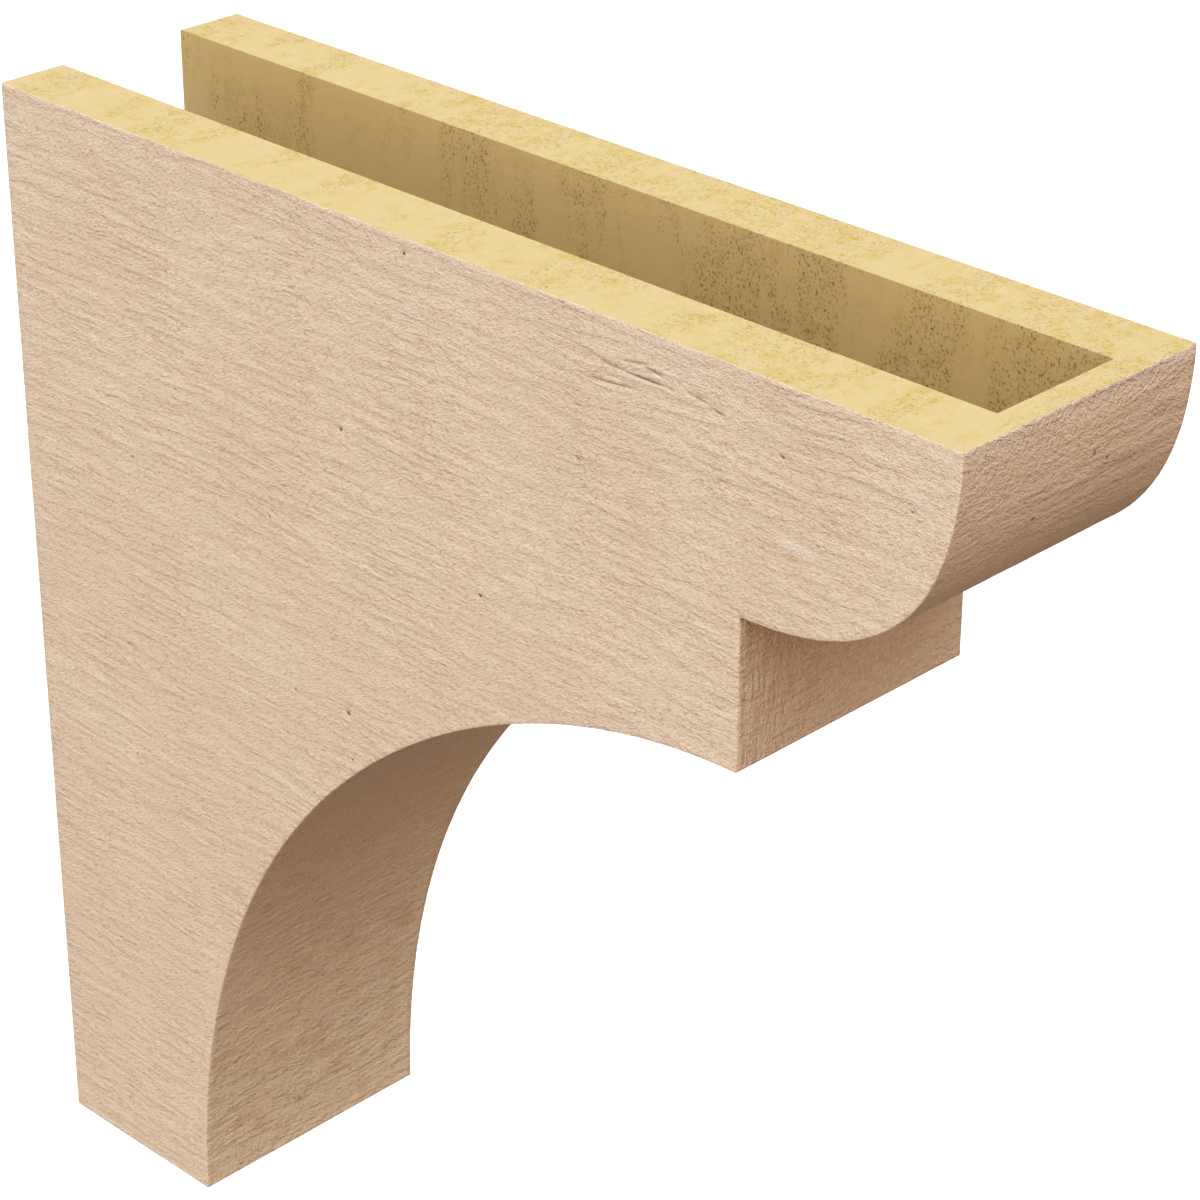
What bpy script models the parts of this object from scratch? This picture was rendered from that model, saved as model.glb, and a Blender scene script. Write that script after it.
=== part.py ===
"""A hollow moulded corbel, open at its top and back, in metres with +Z up.

The wall plane is x = 0, the nose points to +X, and the part is symmetric about y = 0.
The origin lies on the back edge of the foot, halfway up the thickness of the foot's web.
"""
import math

import bpy
import bmesh
import numpy as np

INCH = 0.0254

# Overall size
DEPTH = 16 * INCH
HEIGHT = 16 * INCH
WIDTH = 4 * INCH

# Thickness of the two side walls, and of the web that joins them below and in front
SIDE_WALL = 1 * INCH
WEB = 0.375 * INCH

# Side view: depth of the leg, front face of the step, and heights above the foot
LEG_DEPTH = 3 * INCH
STEP_X = 13 * INCH
STEP_BOTTOM = 11 * INCH
NOSE_BOTTOM = 13 * INCH

# How far each end of the arch runs on before it bends: up the leg and back along the step
ARCH_RISE = 7.2 * INCH
ARCH_RUN = 4.4 * INCH

# How far each end of the nose's curve runs on, as a share of the nose's length
NOSE_PULL = 2 / 3

ARCH_STEPS = 40
NOSE_STEPS = 20

# The origin is this far above the underside of the foot
ORIGIN_UP = WEB / 2

# How far the channel's cutter runs past the open top and back
CUT_PAST = 0.5 * INCH

PRIMER_COLOUR = (0.70, 0.53, 0.37, 1.0)
PRIMER_ROUGHNESS = 0.85


def clear_scene():
    for thing in list(bpy.data.objects):
        bpy.data.objects.remove(thing, do_unlink=True)


def curve_points(start, start_handle, end_handle, end, steps, inset):
    """Points (x, z) along a cubic curve, each moved to the curve's left by inset."""
    ends = [np.array(point, float) for point in (start, start_handle, end_handle, end)]
    points = []
    for step in range(steps + 1):
        t = step / steps
        s = 1 - t
        place = s**3 * ends[0] + 3 * s * s * t * ends[1] + 3 * s * t * t * ends[2] + t**3 * ends[3]
        along = s * s * (ends[1] - ends[0]) + 2 * s * t * (ends[2] - ends[1]) + t * t * (ends[3] - ends[2])
        length = math.hypot(*along)
        points.append((place[0] - inset * along[1] / length, place[1] + inset * along[0] / length))
    return points


def arch_points(inset):
    """The arch from the foot to the step, cut off where it meets those two inset faces."""
    points = curve_points(
        (LEG_DEPTH, 0),
        (LEG_DEPTH, ARCH_RISE),
        (STEP_X - ARCH_RUN, STEP_BOTTOM),
        (STEP_X, STEP_BOTTOM),
        ARCH_STEPS,
        inset,
    )
    xs, zs = np.array(points).T
    step_face = STEP_X - inset
    foot = (float(np.interp(inset, zs, xs)), inset)
    head = (step_face, float(np.interp(step_face, xs, zs)))
    between = [(x, z) for x, z in points if z > inset and x < step_face]
    return [foot, *between, head]


def nose_points(inset):
    """The rounded nose, from the inner corner above the step to the front edge of the top."""
    reach = DEPTH - STEP_X
    rise = HEIGHT - NOSE_BOTTOM
    return curve_points(
        (STEP_X, NOSE_BOTTOM),
        (STEP_X + NOSE_PULL * reach, NOSE_BOTTOM),
        (DEPTH, HEIGHT - NOSE_PULL * rise),
        (DEPTH, HEIGHT),
        NOSE_STEPS,
        inset,
    )


def side_outline(inset, past):
    """The closed side view: its underside moved in by inset, its top and back out by past."""
    corner = [(STEP_X - inset, NOSE_BOTTOM + inset)] if inset else []
    under = [(-past, inset), *arch_points(inset), *corner, *nose_points(inset)]
    front_x = DEPTH - inset
    above = [(front_x, HEIGHT + past), (-past, HEIGHT + past)] if past else [(0, HEIGHT)]
    return under + above


def slab(name, outline, thickness):
    """A solid from a side outline, centred on y = 0."""
    curve = bpy.data.curves.new(name + "_outline", "CURVE")
    curve.dimensions = "2D"
    curve.fill_mode = "BOTH"
    curve.extrude = thickness / 2
    spline = curve.splines.new("POLY")
    spline.points.add(len(outline) - 1)
    for point, (x, z) in zip(spline.points, outline):
        point.co = (x, z - ORIGIN_UP, 0, 1)
    spline.use_cyclic_u = True
    flat = bpy.data.objects.new(name + "_outline", curve)
    flat.rotation_euler = (math.pi / 2, 0, 0)
    bpy.context.scene.collection.objects.link(flat)
    bpy.context.view_layer.update()

    graph = bpy.context.evaluated_depsgraph_get()
    mesh = bpy.data.meshes.new_from_object(flat.evaluated_get(graph))
    weld = bmesh.new()
    weld.from_mesh(mesh)
    bmesh.ops.remove_doubles(weld, verts=weld.verts, dist=0.00005)
    bmesh.ops.recalc_face_normals(weld, faces=weld.faces)
    weld.to_mesh(mesh)
    weld.free()
    solid = bpy.data.objects.new(name, mesh)
    solid.matrix_world = flat.matrix_world
    bpy.data.objects.remove(flat, do_unlink=True)
    bpy.data.curves.remove(curve)
    return solid


def primer():
    """The tan primer that coats the moulded foam."""
    material = bpy.data.materials.new("primer")
    material.use_nodes = True
    shader = material.node_tree.nodes["Principled BSDF"]
    shader.inputs["Base Color"].default_value = PRIMER_COLOUR
    shader.inputs["Roughness"].default_value = PRIMER_ROUGHNESS
    shader.inputs["Metallic"].default_value = 0.0
    return material


def build():
    clear_scene()
    parts = bpy.data.collections.new("corbel")
    cutters = bpy.data.collections.new("cutters")
    bpy.context.scene.collection.children.link(parts)
    bpy.context.scene.collection.children.link(cutters)

    corbel = slab("corbel", side_outline(0, 0), WIDTH)
    corbel.data.materials.append(primer())
    parts.objects.link(corbel)

    channel = slab("channel", side_outline(WEB, CUT_PAST), WIDTH - 2 * SIDE_WALL)
    channel.hide_render = True
    channel.display_type = "WIRE"
    cutters.objects.link(channel)

    hollow = corbel.modifiers.new("channel", "BOOLEAN")
    hollow.operation = "DIFFERENCE"
    hollow.solver = "EXACT"
    hollow.object = channel
    corbel.data.shade_smooth()
    corbel.data.set_sharp_from_angle(angle=math.radians(20))


build()
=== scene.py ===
import math

import bpy
import numpy as np
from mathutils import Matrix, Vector
from mathutils.geometry import delaunay_2d_cdt


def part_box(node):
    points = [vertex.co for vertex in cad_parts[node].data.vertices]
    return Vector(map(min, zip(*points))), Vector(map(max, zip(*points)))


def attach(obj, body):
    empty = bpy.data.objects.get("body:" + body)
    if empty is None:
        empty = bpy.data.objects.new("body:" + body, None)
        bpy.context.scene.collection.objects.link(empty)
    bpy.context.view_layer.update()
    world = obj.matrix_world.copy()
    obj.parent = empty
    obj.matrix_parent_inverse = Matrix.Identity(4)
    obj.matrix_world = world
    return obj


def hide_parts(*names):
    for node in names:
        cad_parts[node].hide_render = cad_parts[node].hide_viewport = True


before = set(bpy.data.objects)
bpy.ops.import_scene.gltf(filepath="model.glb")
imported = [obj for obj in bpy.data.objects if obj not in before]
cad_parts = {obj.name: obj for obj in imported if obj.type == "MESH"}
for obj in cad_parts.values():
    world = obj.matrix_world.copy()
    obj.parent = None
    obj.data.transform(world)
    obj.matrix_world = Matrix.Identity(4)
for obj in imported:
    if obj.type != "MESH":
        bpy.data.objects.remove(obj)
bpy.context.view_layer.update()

# The corbel: one hollow piece of rigid urethane foam, cast in a mould taken from a rough-sawn timber
# bracket, then primed. Its sides and undersides copy the sawn grain. The top rim and back edge, where
# the mould was open, and the channel that its core left are flat bare foam.
INCH = 0.0254
low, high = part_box("corbel")
DEPTH = high.x - low.x
HEIGHT = high.z - low.z
HALF_WIDTH = (high.y - low.y) / 2
FOOT = low.z
WALL = 1 * INCH
HALF_CHANNEL = HALF_WIDTH - WALL
WEB = 0.375 * INCH
LEG_DEPTH = 3 * INCH
STEP_X = 13 * INCH
STEP_BOTTOM = 11 * INCH
NOSE_BOTTOM = 13 * INCH
ARCH_RISE = 7.2 * INCH
ARCH_RUN = 4.4 * INCH
NOSE_PULL = 2 / 3

# Mesh spacing along and across the sawn grain, and on bare foam, and the rounding of outer edges
MM = 0.001
ALONG_STEP = 2.6 * MM
ACROSS_STEP = 1.2 * MM
FOAM_STEP = 6 * MM
EDGE_RADIUS = 0.5 * MM

# Points on a curve before it is spaced out evenly
CURVE_POINTS = 401


def spaced(points, spacing):
    """The same path with evenly spaced points, and one more close to each end for the rounded edge."""
    points = np.array(points, float)
    reach = np.concatenate(([0], np.cumsum(np.linalg.norm(np.diff(points, axis=0), axis=1))))
    count = max(1, round(reach[-1] / spacing))
    at = np.linspace(0, reach[-1], count + 1)
    at = np.unique(np.concatenate((at, [EDGE_RADIUS, reach[-1] - EDGE_RADIUS])))
    return np.column_stack([np.interp(at, reach, points[:, axis]) for axis in (0, 1)])


def bent(start, start_handle, end_handle, end, spacing, inset=0.0):
    """Evenly spaced points along a cubic curve that is moved to its left by inset."""
    t = np.linspace(0, 1, CURVE_POINTS)[:, None]
    s = 1 - t
    a, b, c, d = (np.array(point, float) for point in (start, start_handle, end_handle, end))
    place = s**3 * a + 3 * s * s * t * b + 3 * s * t * t * c + t**3 * d
    along = s * s * (b - a) + 2 * s * t * (c - b) + t * t * (d - c)
    along /= np.linalg.norm(along, axis=1)[:, None]
    return spaced(place + inset * np.column_stack((-along[:, 1], along[:, 0])), spacing)


def joined(*runs):
    """Several runs of points, end to end, as one."""
    return np.concatenate([run[:-1] for run in runs[:-1]] + [runs[-1]])


def arch(spacing, inset=0.0):
    """The arch from the foot to the step, trimmed to those two faces when it is inset."""
    handles = (LEG_DEPTH, 0), (LEG_DEPTH, ARCH_RISE), (STEP_X - ARCH_RUN, STEP_BOTTOM), (STEP_X, STEP_BOTTOM)
    if not inset:
        return bent(*handles, spacing)
    path = bent(*handles, ACROSS_STEP, inset)
    x, z = path.T
    foot = (np.interp(inset, z, x), inset)
    head = (STEP_X - inset, np.interp(STEP_X - inset, x, z))
    between = path[(z > inset) & (x < STEP_X - inset)]
    return spaced([foot, *between, head], spacing)


def nose(spacing, inset=0.0):
    """The rounded nose, from the inner corner over the step up to the top."""
    pull = NOSE_PULL * (DEPTH - STEP_X), NOSE_PULL * (HEIGHT - NOSE_BOTTOM)
    return bent(
        (STEP_X, NOSE_BOTTOM),
        (STEP_X + pull[0], NOSE_BOTTOM),
        (DEPTH, HEIGHT - pull[1]),
        (DEPTH, HEIGHT),
        spacing,
        inset,
    )


# Outer outline, run by run
foot_run = spaced([(0, 0), (LEG_DEPTH, 0)], ALONG_STEP)
arch_run = arch(ACROSS_STEP)
step_run = spaced([(STEP_X, STEP_BOTTOM), (STEP_X, NOSE_BOTTOM)], ACROSS_STEP)
nose_run = nose(ACROSS_STEP)
top_run = spaced([(DEPTH, HEIGHT), (0, HEIGHT)], ALONG_STEP)
back_run = spaced([(0, HEIGHT), (0, 0)], ACROSS_STEP)

# The channel's outline, the same way
inner_corner = (STEP_X - WEB, NOSE_BOTTOM + WEB)
inner_arch = arch(FOAM_STEP, WEB)
inner_foot = spaced([(0, WEB), inner_arch[0]], FOAM_STEP)
inner_step = spaced([inner_arch[-1], inner_corner], FOAM_STEP)
inner_shelf = spaced([inner_corner, (STEP_X, NOSE_BOTTOM + WEB)], FOAM_STEP)
inner_nose = nose(FOAM_STEP, WEB)
inner_top = spaced([(DEPTH - WEB, HEIGHT), (0, HEIGHT)], FOAM_STEP)
inner_back = spaced([(0, HEIGHT), (0, WEB)], FOAM_STEP)

# Places across the width: over the whole width, over the channel and over one side wall's end
across = spaced([(-HALF_WIDTH, 0), (HALF_WIDTH, 0)], ALONG_STEP)[:, 0]
inner_across = spaced([(-HALF_CHANNEL, 0), (HALF_CHANNEL, 0)], FOAM_STEP)[:, 0]
wall_across = spaced([(HALF_CHANNEL, 0), (HALF_WIDTH, 0)], ALONG_STEP)[:, 0]

places, outward, relief_shares, marks, faces, finishes = [], [], [], [], [], []

# The four finishes: the two sawn sides, the sawn faces across the grain, and the two kinds of bare foam
SIDE, UNDER, RIM, CHANNEL = 0, 1, 2, 3

# Relief is held back at the outer edges, which the mould keeps nearly straight
EDGE_SHARE = 0.3
EDGE_FADE = 3 * MM

# The faces sawn across the grain are smoother than the sides
UNDER_SHARE = 0.5

# Air-bubble holes and splits on the two sides, in mm from the wall and above the foot: both ends of
# each mark, half its width at its middle, and its share of the full depth
NEAR_MARKS = (
    (193.6, 401.0, 193.6, 401.0, 0.8, 1.0),
    (162.9, 333.9, 162.9, 333.9, 0.8, 1.0),
    (57.7, 289.9, 57.7, 289.9, 0.7, 0.8),
    (127.1, 291.6, 127.1, 291.6, 0.7, 0.8),
    (224.2, 298.5, 224.2, 298.5, 0.9, 1.0),
    (49.1, 216.1, 49.1, 216.1, 0.7, 0.7),
    (136.5, 232.0, 136.5, 232.0, 0.7, 0.7),
    (162.3, 233.2, 162.3, 233.2, 0.9, 1.0),
    (163.6, 216.6, 163.6, 216.6, 0.7, 0.8),
    (389.5, 383.7, 390.3, 383.4, 0.6, 0.6),
    (268.8, 385.1, 288.7, 387.1, 0.6, 0.32),
    (274.4, 391.9, 286.2, 391.5, 0.6, 0.3),
    (284.6, 391.3, 300.4, 391.6, 0.55, 0.5),
    (299.6, 391.7, 304.0, 391.2, 0.5, 0.3),
    (283.3, 394.4, 295.2, 396.6, 0.6, 0.3),
    (292.4, 395.0, 299.0, 394.4, 0.7, 0.42),
    (308.6, 392.6, 317.0, 391.2, 0.5, 0.3),
    (318.6, 390.2, 321.9, 389.8, 0.6, 0.5),
    (343.3, 384.6, 344.8, 384.2, 0.6, 0.6),
)
FAR_MARKS = (
    (58.0, 352.0, 58.0, 352.0, 0.8, 1.0),
    (104.0, 243.0, 104.0, 243.0, 0.7, 0.8),
    (181.0, 371.0, 181.0, 371.0, 0.8, 1.0),
    (236.0, 309.0, 236.0, 309.0, 0.7, 0.8),
    (61.0, 88.0, 61.0, 88.0, 0.8, 0.9),
    (302.0, 334.0, 302.0, 334.0, 0.7, 0.8),
    (371.0, 361.0, 371.0, 361.0, 0.8, 0.9),
    (141.0, 318.0, 157.0, 317.0, 0.7, 0.5),
    (33.0, 171.0, 41.0, 170.6, 0.8, 0.5),
)

# Pits in the nose's front, only painted, as dark spots of painted shade: mm from the middle and above the
# foot
FRONT_PITS = ((8.5, 386.3), (15.5, 382.4), (-12.8, 372.5))

# The mesh round a mark: the gap between its points along the mark, and how many stand round each. Its
# sides are this much steeper than a plain cone, and a split is this much shallower at its ends.
MARK_SPACING, MARK_SIDES = 1.2 * MM, 8
MARK_STEEPNESS, MARK_TAPER = 1.35, 0.6

# Least gaps, in mesh steps, from a flat face's net to its outline and to the points of its marks, and
# within which two points are one
OUTLINE_GAP, MARK_GAP, SAME_POINT = 0.55, 0.35, 1e-5


def inside(points, outline):
    """True for each point inside the outline, by counting the edges to its right."""
    x, z = points.T
    result = np.zeros(len(points), bool)
    for (x0, z0), (x1, z1) in zip(outline, np.roll(outline, -1, axis=0)):
        if z0 != z1:
            crosses = (z0 > z) != (z1 > z)
            result ^= crosses & (x < (x1 - x0) * (z - z0) / (z1 - z0) + x0)
    return result


def gap_to(points, others):
    """How far each point is from the nearest of the others."""
    nearest = np.full(len(points), np.inf)
    for x, z in others:
        nearest = np.minimum(nearest, (points[:, 0] - x) ** 2 + (points[:, 1] - z) ** 2)
    return np.sqrt(nearest)


def relief_share(gap):
    """How much of the relief a point takes, from its distance to the nearest outer edge."""
    near = np.clip(gap / EDGE_FADE, 0, 1)
    return EDGE_SHARE + (1 - EDGE_SHARE) * near * near * (3 - 2 * near)


def mark_net(mark):
    """Points round one mark: its middle line and, beside it, its half-deep and its outer edge."""
    ends = np.array(mark[:4]).reshape(2, 2) * MM
    wide = mark[4] * MM
    count = 1 + round(float(np.linalg.norm(ends[1] - ends[0])) / MARK_SPACING)
    points = [ends[0] + (ends[1] - ends[0]) * share for share in np.linspace(0, 1, count)]
    for centre in list(points):
        for turn in np.arange(MARK_SIDES) * math.tau / MARK_SIDES:
            away = np.array((math.cos(turn), math.sin(turn)))
            points += [centre + 0.5 * wide * away, centre + wide * away]
    return points


def mark_depth(points, side_marks):
    """How deep in a mark each point lies, from 0 outside to 1 on its middle line."""
    depth = np.zeros(len(points))
    for *ends, half_width, full in side_marks:
        start, end = np.array(ends).reshape(2, 2) * MM
        along = end - start
        share = np.clip(((points - start) @ along) / max(float(along @ along), 1e-12), 0, 1)
        gap = np.linalg.norm(points - start - share[:, None] * along, axis=1)
        taper = 1 - MARK_TAPER * (2 * share - 1) ** 2 if along.any() else 1.0
        cone = np.clip(MARK_STEEPNESS * (1 - gap / (half_width * MM)), 0, 1)
        depth = np.maximum(depth, full * taper * cone)
    return depth


def add_patch(points, normals, shares, depths, corners, finish):
    """Adds one patch: points, outward directions, shares of the relief, marks, faces and one finish."""
    start = sum(len(batch) for batch in places)
    places.append(np.array(points, float))
    outward.append(np.broadcast_to(normals, (len(points), 3)).astype(float))
    relief_shares.append(np.broadcast_to(shares, len(points)).astype(float))
    marks.append(np.broadcast_to(depths, len(points)).astype(float))
    faces.extend([[start + corner for corner in face] for face in corners])
    finishes.extend([finish] * len(corners))


def filled(outline, steps, details=()):
    """A flat outline filled with an even net of points, with one row along its edge for the rounding."""
    outline = np.array(outline, float)
    ahead = np.roll(outline, -1, axis=0) - outline
    ahead /= np.linalg.norm(ahead, axis=1)[:, None]
    left = np.column_stack((-ahead[:, 1], ahead[:, 0]))
    before = np.roll(left, 1, axis=0)
    miter = (left + before) / (1 + (left * before).sum(1))[:, None]
    ring = outline + EDGE_RADIUS * miter

    columns = np.arange(outline[:, 0].min(), outline[:, 0].max(), steps[0])
    rows = np.arange(outline[:, 1].min(), outline[:, 1].max(), steps[1])
    x, z = np.meshgrid(columns, rows)
    x = x + steps[0] / 2 * (np.arange(len(rows)) % 2)[:, None]
    net = np.column_stack((x.ravel(), z.ravel()))
    net = net[inside(net, ring) & (gap_to(net / steps, ring / steps) > OUTLINE_GAP)]
    if len(details):
        net = net[gap_to(net / steps, details / steps) > MARK_GAP]
        net = np.concatenate((net, details))
    points = np.concatenate((outline, ring, net))

    count = len(outline)
    loops = [(i, (i + 1) % count) for i in range(count)]
    loops += [(count + i, count + (i + 1) % count) for i in range(count)]
    shaped = [Vector(point) for point in points / steps]
    solved = delaunay_2d_cdt(shaped, loops, [list(range(count))], 1, SAME_POINT, True)
    flat = np.array(
        [
            points[given[0]] if given else np.array(point) * steps
            for point, given in zip(solved[0], solved[3])
        ]
    )
    corners = np.array(solved[2])
    return flat, corners[inside(flat[corners].mean(1), outline)].tolist()


def add_walls(outline, steps, half, facing, finish, marks_by_side=((), ())):
    """The two upright side faces at y = -half and y = half; facing is 1 outwards and -1 inwards."""
    details = np.array(
        [point for side_marks in marks_by_side for mark in side_marks for point in mark_net(mark)]
    )
    flat, corners = filled(outline, steps, details)
    shares = relief_share(gap_to(flat, outline)) if facing > 0 else 0
    for side, side_marks in zip((-1, 1), marks_by_side):
        points = np.column_stack((flat[:, 0], np.full(len(flat), side * half), flat[:, 1] + FOOT))
        turned = [face if side * facing < 0 else face[::-1] for face in corners]
        normal = (0, side * max(facing, 0), 0)
        add_patch(points, normal, shares, mark_depth(flat, side_marks), turned, finish)


def add_strip(run, ys, facing, finish):
    """The strip that a run of the outline sweeps across the width."""
    ahead = np.gradient(run, axis=0)
    ahead /= np.linalg.norm(ahead, axis=1)[:, None]
    reach = np.concatenate(([0], np.cumsum(np.linalg.norm(np.diff(run, axis=0), axis=1))))
    reach = np.minimum(reach, reach[-1] - reach)
    points = np.array([(x, y, z + FOOT) for x, z in run for y in ys])
    normals = np.array([(dz, 0, -dx) for dx, dz in ahead for y in ys]) * max(facing, 0)
    gaps = np.minimum(np.repeat(reach, len(ys)), HALF_WIDTH - np.abs(points[:, 1]))
    wide = len(ys)
    corners = []
    for i in range(len(run) - 1):
        for j in range(wide - 1):
            a = i * wide + j
            face = [a, a + wide, a + wide + 1, a + 1]
            corners.append(face if facing < 0 else face[::-1])
    add_patch(points, normals, UNDER_SHARE * relief_share(gaps) * max(facing, 0), 0, corners, finish)


def rim(outer_run, outer_ys, inner_run, inner_ys):
    """A U-shaped rim's outline from its outer and inner sides, whose runs start at the closed end."""
    outline = [(x, -HALF_WIDTH) for x in outer_run[::-1][:-1]]
    outline += [(outer_run[0], y) for y in outer_ys[:-1]]
    outline += [(x, HALF_WIDTH) for x in outer_run[:-1]]
    outline += [(outer_run[-1], y) for y in wall_across[::-1][:-1]]
    outline += [(x, HALF_CHANNEL) for x in inner_run[::-1][:-1]]
    outline += [(inner_run[0], y) for y in inner_ys[::-1][:-1]]
    outline += [(x, -HALF_CHANNEL) for x in inner_run[:-1]]
    outline += [(outer_run[-1], -y) for y in wall_across[:-1]]
    return np.array(outline)


outer_loop = joined(foot_run, arch_run, step_run, nose_run, top_run, back_run)[:-1]
inner_loop = joined(
    inner_foot, inner_arch, inner_step, inner_shelf, inner_nose, inner_top, inner_back
)[:-1]
add_walls(outer_loop, (ALONG_STEP, ACROSS_STEP), HALF_WIDTH, 1, SIDE, (NEAR_MARKS, FAR_MARKS))
add_walls(inner_loop, (FOAM_STEP, FOAM_STEP), HALF_CHANNEL, -1, CHANNEL)
for run in (foot_run, arch_run, step_run, nose_run):
    add_strip(run, across, 1, UNDER)
for run in (inner_foot, inner_arch, inner_step, inner_shelf, inner_nose):
    add_strip(run, inner_across, -1, CHANNEL)

# The top rim lies at the top, its closed end in front
flat, corners = filled(rim(top_run[:, 0], across, inner_top[:, 0], inner_across), (FOAM_STEP, FOAM_STEP))
points = np.column_stack((flat, np.full(len(flat), HEIGHT + FOOT)))
add_patch(points, (0, 0, 1), 0, 0, corners, RIM)

# The back rim lies on the wall plane, its closed end at the foot
down, inner_down = -back_run[::-1, 1], -inner_back[::-1, 1]
flat, corners = filled(rim(down, across, inner_down, inner_across), (FOAM_STEP, FOAM_STEP))
points = np.column_stack((np.zeros(len(flat)), flat[:, 1], FOOT - flat[:, 0]))
add_patch(points, (-1, 0, 0), 0, 0, [face[::-1] for face in corners], RIM)

# Patches meet point on point, so points in the same place, to a micrometre, become one
MICROMETRES = 1e6
places, outward = np.concatenate(places), np.concatenate(outward)
relief_shares, marks = np.concatenate(relief_shares), np.concatenate(marks)
_, first, merged = np.unique(
    np.round(places * MICROMETRES).astype(np.int64), axis=0, return_index=True, return_inverse=True
)
merged = merged.ravel()
spots = places[first]
count = len(spots)
outer = np.linalg.norm(outward, axis=1) > 0.5
push, sink, patches, mark = np.zeros((count, 3)), np.zeros((count, 3)), np.zeros(count), np.zeros(count)
np.add.at(push, merged, outward)
np.add.at(sink, merged, -outward * relief_shares[:, None])
np.add.at(patches, merged, outer.astype(float))
np.maximum.at(mark, merged, marks)
crosswise = (np.abs(sink[:, 1]) < 0.01).astype(float)

# A point where two or three outer faces meet moves in along their middle, which rounds the edge. The
# inner corner over the step stays as it is.
off_corner = np.abs(spots[:, (0, 2)] - (STEP_X, FOOT + NOSE_BOTTOM)).max(1)
inner_corner_line = off_corner < 1 / MICROMETRES
met = np.where(inner_corner_line, 1, np.maximum(patches, 1))
spots = spots - EDGE_RADIUS * (1 - 1 / np.sqrt(met))[:, None] * push

mesh = bpy.data.meshes.new("corbel_body")
mesh.from_pydata(spots.tolist(), [], [[int(merged[c]) for c in face] for face in faces])
mesh.attributes.new("finish", "INT", "FACE").data.foreach_set("value", finishes)
mesh.attributes.new("sink", "FLOAT_VECTOR", "POINT").data.foreach_set("vector", sink.ravel())
mesh.attributes.new("crosswise", "FLOAT", "POINT").data.foreach_set("value", crosswise)
mesh.attributes.new("mark", "FLOAT", "POINT").data.foreach_set("value", mark)
mesh.update()
corbel_body = bpy.data.objects.new("corbel_body", mesh)
bpy.context.scene.collection.objects.link(corbel_body)


def add_node(tree, kind, inputs=None, output=0, **settings):
    """Adds a node, sets it up, fills its inputs with values or links, and returns one of its outputs."""
    node = tree.nodes.new(kind)
    for name, value in settings.items():
        setattr(node, name, value)
    for key, value in (inputs or {}).items():
        if isinstance(value, bpy.types.NodeSocket):
            tree.links.new(value, node.inputs[key])
        else:
            node.inputs[key].default_value = value
    return node.outputs[output] if len(node.outputs) else node


def linear(colour):
    """An sRGB hex colour as linear red, green, blue and alpha."""
    shares = [int(colour[place : place + 2], 16) / 255 for place in (0, 2, 4)]
    return [s / 12.92 if s <= 0.04045 else ((s + 0.055) / 1.055) ** 2.4 for s in shares] + [1.0]


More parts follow.
